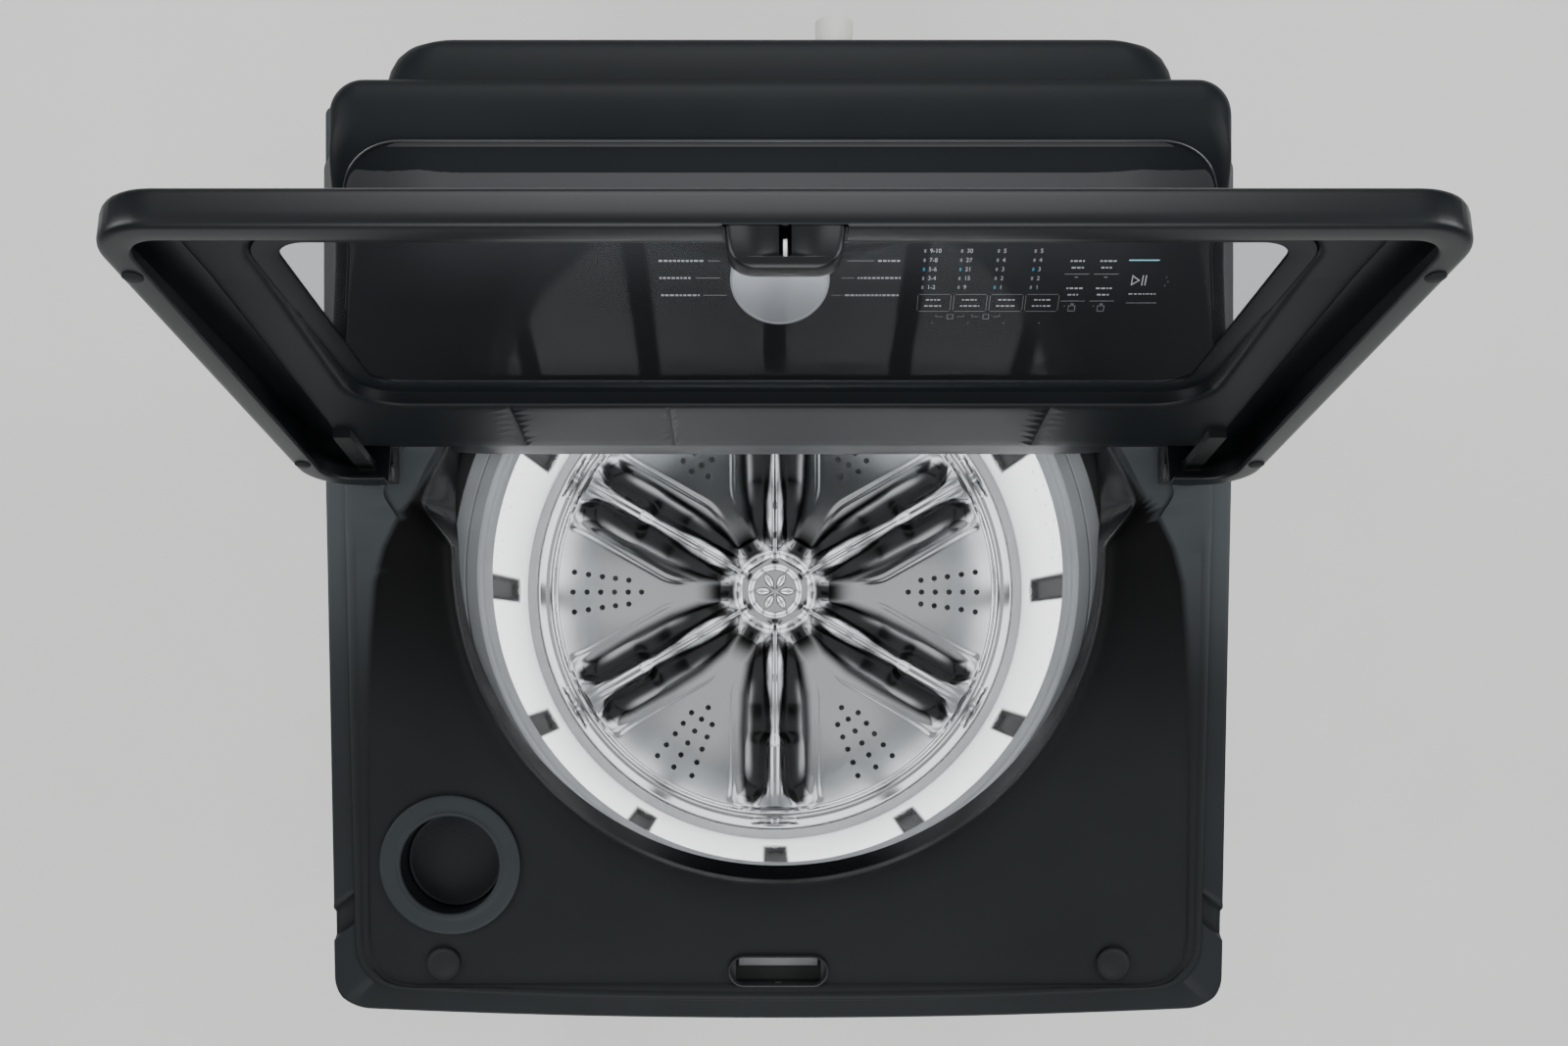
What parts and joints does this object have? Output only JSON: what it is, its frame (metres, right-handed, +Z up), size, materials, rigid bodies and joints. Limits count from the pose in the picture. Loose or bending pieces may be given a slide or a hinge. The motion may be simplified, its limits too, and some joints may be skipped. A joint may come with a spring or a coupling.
{
  "type": "top load washing machine",
  "caption": "Top-loading washing machine with a rear console, a hinged glass lid, a perforated steel basket, a vaned wash plate and a suspended direct-drive tub.",
  "frame": {"origin": "middle of the overall box, on the floor, with the lid open", "axes": "+Z up, +X to the right as the user faces it, the user stands at -Y"},
  "size_m": [0.686, 0.727, 1.3816],
  "materials": {
    "black_steel": "satin powder coat, near black",
    "zinc_steel": "zinc plated",
    "black_plastic": "fine grained, charcoal black",
    "grey_plastic": "fine grained, dark grey",
    "gloss_black": "gloss black",
    "tinted_glass": "smoked, tempered",
    "knob_metal": "turned, silver",
    "trim_metal": "satin",
    "rubber_black": "soft black rubber",
    "rubber_grey": "grey rubber",
    "stainless": "polished stainless steel",
    "wash_chrome": "moulded plastic, bright plated",
    "ring_plastic": "light grey",
    "tub_plastic": "grey glass-filled polypropylene",
    "cast_aluminium": "as cast",
    "shaft_steel": "ground",
    "motor_steel": "laminated, varnished",
    "copper_wire": "enamelled winding",
    "white_plastic": "white nylon",
    "board_green": "circuit board"
  },
  "bodies": {
    "cabinet": {"cabinet_wrap": "black_steel", "rear_panel": "black_steel", "base_frame": "zinc_steel", "levelling_feet": "rubber_black", "foot_locknuts": "zinc_steel", "top_cover": "black_plastic", "bleach_cup": "grey_plastic", "deck_bumpers": "rubber_black", "lock_bezel": "grey_plastic", "lock_unit": "black_plastic", "hinge_pins": "shaft_steel", "hinge_brackets": "black_plastic", "console_housing": "black_plastic", "control_panel": "gloss_black", "console_trim": "trim_metal", "knob_encoder": "black_plastic", "control_board": "board_green", "console_rear_cover": "black_plastic", "inlet_valve": "white_plastic", "fill_hose": "rubber_black", "water_nozzle": "black_plastic", "cord_gland": "rubber_black", "suspension_rods": "zinc_steel", "suspension_springs": "zinc_steel", "pump_housing": "white_plastic", "pump_motor": "motor_steel", "drain_hose": "rubber_grey", "drain_outlet": "white_plastic", "cabinet_screws": "zinc_steel"},
    "lid": {"lid_frame": "black_steel", "lid_glass": "tinted_glass", "lid_inner_frame": "black_plastic", "lid_strike": "black_plastic", "lid_bumpers": "rubber_black", "lid_hinge_arms": "zinc_steel"},
    "tub": {"outer_tub": "tub_plastic", "tub_cover": "black_plastic", "spring_cups": "white_plastic", "bearing_housing": "cast_aluminium", "ball_bearings": "shaft_steel", "shaft_seal": "rubber_grey", "stator": "copper_wire", "clutch_coil": "copper_wire", "housing_bolts": "zinc_steel", "sump_hose": "rubber_black"},
    "basket": {"basket": "stainless", "basket_base": "tub_plastic", "balance_ring": "ring_plastic", "spin_shaft": "shaft_steel", "basket_bolts": "zinc_steel"},
    "wash_drive": {"wash_plate": "wash_chrome", "wash_cap": "wash_chrome", "wash_bolt": "zinc_steel", "wash_shaft": "shaft_steel", "rotor": "motor_steel", "rotor_nut": "zinc_steel"},
    "coupler": {"clutch_coupler": "shaft_steel"},
    "pump_wheel": {"pump_impeller": "white_plastic"},
    "knob": {"program_knob": "knob_metal"},
    "bolt": {"lock_bolt": "zinc_steel"}
  },
  "joints": [
    {"name": "lid_hinge", "type": "hinge", "parent": "cabinet", "child": "lid", "pos_m": [0, 0.0565, 0.997], "axis": [1, 0, 0], "range_deg": [0, 107]},
    {"name": "tub_suspension", "type": "slide", "parent": "cabinet", "child": "tub", "axis": [0, 0, 1], "range_m": [-0.012, 0.005], "stiffness_N_per_m": 20000, "springref_m": 0.01559, "deforming": ["suspension_springs", "sump_hose"]},
    {"name": "basket_spin", "type": "hinge", "parent": "tub", "child": "basket", "pos_m": [0, -0.0155, 0.6], "axis": [0, 0, 1], "continuous": true},
    {"name": "wash_spin", "type": "hinge", "parent": "tub", "child": "wash_drive", "pos_m": [0, -0.0155, 0.47], "axis": [0, 0, 1], "continuous": true},
    {"name": "coupler_slide", "type": "slide", "parent": "basket", "child": "coupler", "axis": [0, 0, 1], "range_m": [0, 0.0035]},
    {"name": "pump_spin", "type": "hinge", "parent": "cabinet", "child": "pump_wheel", "pos_m": [0.17, -0.1655, 0.112], "axis": [1, 0, 0], "continuous": true},
    {"name": "knob_turn", "type": "hinge", "parent": "cabinet", "child": "knob", "pos_m": [0, 0.19164, 1.06863], "axis": [0, -0.669, 0.7433], "continuous": true},
    {"name": "bolt_slide", "type": "slide", "parent": "cabinet", "child": "bolt", "axis": [0, 1, 0], "range_m": [0, 0.008]}
  ]
}
